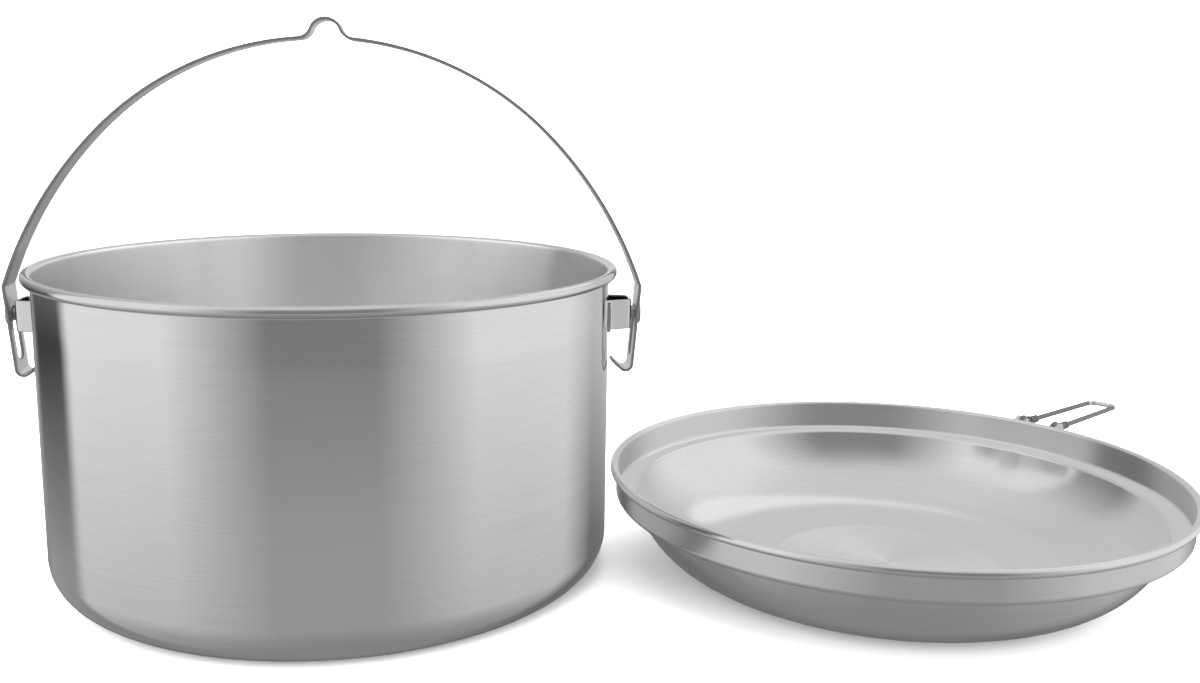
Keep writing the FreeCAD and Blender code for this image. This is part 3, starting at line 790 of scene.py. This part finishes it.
def dress_bracket(look):
    """The CAD bracket stays: its flat faces are merged and its edges softened."""
    node = frame["nodes"]["handle_bracket"]
    node.data.materials.clear()
    node.data.materials.append(look["bracket"])
    merge = node.modifiers.new("merge_flat_faces", "DECIMATE")
    merge.decimate_type = "DISSOLVE"
    merge.angle_limit = math.radians(0.5)
    soften = node.modifiers.new("soften_edges", "BEVEL")
    soften.width = 0.15 * MM
    soften.segments = 2
    soften.limit_method = "ANGLE"
    soften.angle_limit = math.radians(40)


# ---- the studio --------------------------------------------------------------------------------------
CAMERA_PLACE = Vector((0.0455, -0.4985, 0.1868))
CAMERA_YAW = 0.124           # radians, toward +X from +Y
CAMERA_PITCH = 0.1885        # radians, down
CAMERA_ROLL = 0.017          # radians, the right side raised
CAMERA_LENS = 37.2
BACK_LIGHT_AZIMUTH = 144.0   # degrees from the front toward +X; it draws the highlight on the lid's floor
BACK_LIGHT_ELEVATION = 40.0
BACK_LIGHT_DISTANCE = 2.2
BACK_LIGHT_SIZE = 1.0
BACK_LIGHT_POWER = 1.0
FLOOR_HALF = 12.0
TENT_RADIUS = 8.0

# The light tent is a plain studio: a large softbox on each side, a grey flag behind the camera, a black flag
# at the far left and a wall behind.  Azimuths are in degrees from the front toward +X.
def studio(box, flag, black, wall):
    """Stops of (azimuth, level) round the tent at one elevation; between them the light blends."""
    return [(-180, wall), (-155, wall), (-140, black), (-115, black), (-108, box), (-60, box), (-20, flag),
            (20, flag), (60, box), (110, box), (135, wall), (180, wall)]


def even(level):
    return [(-180, level), (180, level)]


TENT = [
    (-75, even(0.35)),
    (-45, studio(box=0.5, flag=0.4, black=0.3, wall=0.2)),
    (-20, studio(box=0.8, flag=0.5, black=0.4, wall=0.2)),
    (-10, studio(box=1.1, flag=0.3, black=0.05, wall=0.7)),
    (20, studio(box=1.1, flag=0.3, black=0.5, wall=0.8)),
    (45, studio(box=1.1, flag=0.4, black=0.8, wall=0.8)),
    (70, even(0.9)),
]


def ramp(n, value, stops):
    node = n.new("ShaderNodeValToRGB")
    n.link(value, node.inputs["Fac"])
    elements = node.color_ramp.elements
    while len(elements) < len(stops):
        elements.new(0.5)
    for element, (degrees, level) in zip(elements, stops):
        element.position = (degrees + 180) / 360
        element.color = (level, level, level, 1)
    return node.outputs["Color"]


def tent_material():
    n = Nodes("light_tent")
    n.tree.nodes.remove(n.shader)
    place = n.new("ShaderNodeTexCoord").outputs["Object"]
    parts = n.new("ShaderNodeSeparateXYZ")
    n.link(place, parts.inputs["Vector"])
    front = n.new("ShaderNodeMath", operation="MULTIPLY")
    front.inputs[1].default_value = -1.0
    n.link(parts.outputs["Y"], front.inputs[0])
    azimuth = n.new("ShaderNodeMath", operation="ARCTAN2")
    n.link(parts.outputs["X"], azimuth.inputs[0])
    n.link(front.outputs["Value"], azimuth.inputs[1])
    share = n.spread(azimuth.outputs["Value"], -math.pi, math.pi)
    below, stops = TENT[0]
    level = ramp(n, share, stops)
    for above, stops in TENT[1:]:
        edges = [TENT_RADIUS * math.sin(math.radians(elevation)) for elevation in (below, above)]
        mix = n.new("ShaderNodeMix", data_type="RGBA")
        n.link(n.spread(parts.outputs["Z"], *edges), mix.inputs["Factor"])
        n.link(level, mix.inputs[6])
        n.link(ramp(n, share, stops), mix.inputs[7])
        level = mix.outputs[2]
        below = above
    glow = n.new("ShaderNodeEmission")
    n.link(level, glow.inputs["Color"])
    n.link(glow.outputs["Emission"], n.tree.nodes["Material Output"].inputs["Surface"])
    n.material.cycles.emission_sampling = "NONE"
    return n.material


def make_tent():
    bm = bmesh.new()
    bmesh.ops.create_icosphere(bm, subdivisions=4, radius=TENT_RADIUS)
    mesh = bpy.data.meshes.new("light_tent")
    bm.to_mesh(mesh)
    bm.free()
    mesh.materials.append(tent_material())
    tent = bpy.data.objects.new("light_tent", mesh)
    tent.location = ((CAD_BOX[0].x + CAD_BOX[1].x) / 2, 0, POT_HIGH.z / 2)
    bpy.context.scene.collection.objects.link(tent)
    tent.visible_camera = False
    tent.visible_diffuse = False
    tent.visible_shadow = False
    tent.visible_transmission = False


def make_floor():
    bm = bmesh.new()
    bmesh.ops.create_grid(bm, x_segments=1, y_segments=1, size=FLOOR_HALF)
    mesh = bpy.data.meshes.new("studio_floor")
    bm.to_mesh(mesh)
    bm.free()
    floor = bpy.data.objects.new("studio_floor", mesh)
    n = Nodes("pale_floor")
    n.shader.inputs["Base Color"].default_value = (0.92, 0.92, 0.92, 1)
    n.shader.inputs["Roughness"].default_value = 0.9
    mesh.materials.append(n.material)
    bpy.context.scene.collection.objects.link(floor)
    floor.visible_glossy = False


def make_light():
    world = bpy.data.worlds.new("studio")
    bpy.context.scene.world = world
    world.use_nodes = True
    world.node_tree.nodes["Background"].inputs["Color"].default_value = (1, 1, 1, 1)
    world.node_tree.nodes["Background"].inputs["Strength"].default_value = 4.0
    world.cycles_visibility.glossy = False
    lamp = bpy.data.lights.new("overhead_softbox", "AREA")
    lamp.shape = "RECTANGLE"
    lamp.size = 1.6
    lamp.size_y = 1.2
    lamp.energy = 9.0
    overhead = bpy.data.objects.new("overhead_softbox", lamp)
    overhead.location = (-0.3, -0.4, 1.8)
    aim = Vector((0.1, 0, 0)) - overhead.location
    overhead.rotation_euler = aim.to_track_quat("-Z", "Y").to_euler()
    overhead.visible_glossy = False
    bpy.context.scene.collection.objects.link(overhead)
    spot = bpy.data.lights.new("back_softbox", "AREA")
    spot.shape = "DISK"
    spot.size = BACK_LIGHT_SIZE
    spot.energy = BACK_LIGHT_POWER
    back = bpy.data.objects.new("back_softbox", spot)
    azimuth, elevation = math.radians(BACK_LIGHT_AZIMUTH), math.radians(BACK_LIGHT_ELEVATION)
    toward = Vector((math.sin(azimuth) * math.cos(elevation), -math.cos(azimuth) * math.cos(elevation),
                     math.sin(elevation)))
    back.location = LID_CENTRE + toward * BACK_LIGHT_DISTANCE
    back.rotation_euler = toward.to_track_quat("Z", "Y").to_euler()
    back.visible_diffuse = False
    bpy.context.scene.collection.objects.link(back)


def make_camera():
    camera = bpy.data.cameras.new("camera")
    camera.lens = CAMERA_LENS
    camera.clip_end = 100.0
    holder = bpy.data.objects.new("camera", camera)
    level_share = math.cos(CAMERA_PITCH)
    gaze = Vector((math.sin(CAMERA_YAW) * level_share, math.cos(CAMERA_YAW) * level_share,
                   -math.sin(CAMERA_PITCH)))
    level = Matrix.Rotation(-CAMERA_ROLL, 4, gaze)
    holder.location = CAMERA_PLACE
    holder.rotation_euler = (level @ gaze.to_track_quat("-Z", "Y").to_matrix().to_4x4()).to_euler()
    bpy.context.scene.collection.objects.link(holder)
    bpy.context.scene.camera = holder
    bpy.context.scene.view_settings.view_transform = "Standard"


make_camera()
make_light()
make_floor()
make_tent()
look = make_materials()
make_pot(look)
for side in (1, -1):
    make_ear(side, look)
    make_pivot(side, look)
make_bail(look)
make_lid(look)
make_handle(look)
dress_bracket(look)

# The lid and its handle stay out of mirror images, as when the pot and the lid are photographed apart.
for piece in bpy.context.scene.objects:
    if piece.name.startswith(("lid_dish", "handle_")):
        piece.visible_glossy = False
